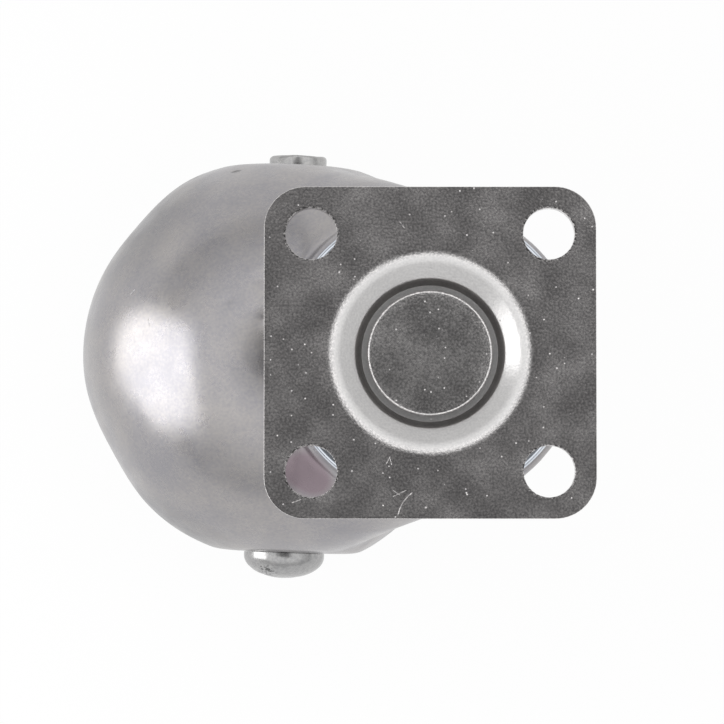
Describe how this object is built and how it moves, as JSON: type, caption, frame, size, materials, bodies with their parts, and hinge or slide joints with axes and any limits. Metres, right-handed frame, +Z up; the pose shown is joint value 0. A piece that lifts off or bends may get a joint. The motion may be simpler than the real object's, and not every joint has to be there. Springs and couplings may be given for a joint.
{
  "type": "ball caster",
  "caption": "Hooded ball caster: a swivelling pressed-metal hood with a ball-shaped wheel on a riveted axle, under a square mounting plate with a ball race",
  "frame": {"origin": "Middle of the mounting plate's top face, on the swivel axis", "axes": "+Z points up out of the plate, along the swivel axis; the plate's sides are parallel to X and Y; the nose of the hood points to -X, swung by 2 degrees; the domed rivet head is on the -Y side"},
  "size_m": [0.061, 0.0518, 0.0516],
  "materials": {
    "plate_steel": "bright zinc-plated steel, rolled surface with fine pits and scratches",
    "cup_steel": "bright zinc-plated steel, bluish",
    "hood_metal": "satin nickel-coloured plating, brushed, slightly uneven",
    "rivet_metal": "satin plating with small pits",
    "ball_steel": "polished steel",
    "wheel_plastic": "moulded, fine matt grain",
    "tread_rubber": "soft matt tread"
  },
  "bodies": {
    "plate": {"top_plate": "plate_steel", "kingpin": "plate_steel", "retaining_washer": "plate_steel"},
    "swivel": {"hood": "hood_metal", "race_cup": "cup_steel", "race_ball_01": "ball_steel", "race_ball_02": "ball_steel", "race_ball_03": "ball_steel", "race_ball_04": "ball_steel", "race_ball_05": "ball_steel", "race_ball_06": "ball_steel", "race_ball_07": "ball_steel", "race_ball_08": "ball_steel", "race_ball_09": "ball_steel", "axle_rivet": "rivet_metal", "axle_tube": "plate_steel", "axle_washer_near": "plate_steel", "axle_washer_far": "plate_steel"},
    "wheel": {"wheel_core": "wheel_plastic", "wheel_tread": "tread_rubber"}
  },
  "joints": [
    {"name": "swivel_turn", "type": "hinge", "parent": "plate", "child": "swivel", "pos_m": [0, 0, -0.0044], "axis": [0, 0, 1], "continuous": true},
    {"name": "wheel_spin", "type": "hinge", "parent": "swivel", "child": "wheel", "pos_m": [-0.01649, 0.00058, -0.03097], "axis": [0.0349, 0.9994, 0], "continuous": true}
  ]
}
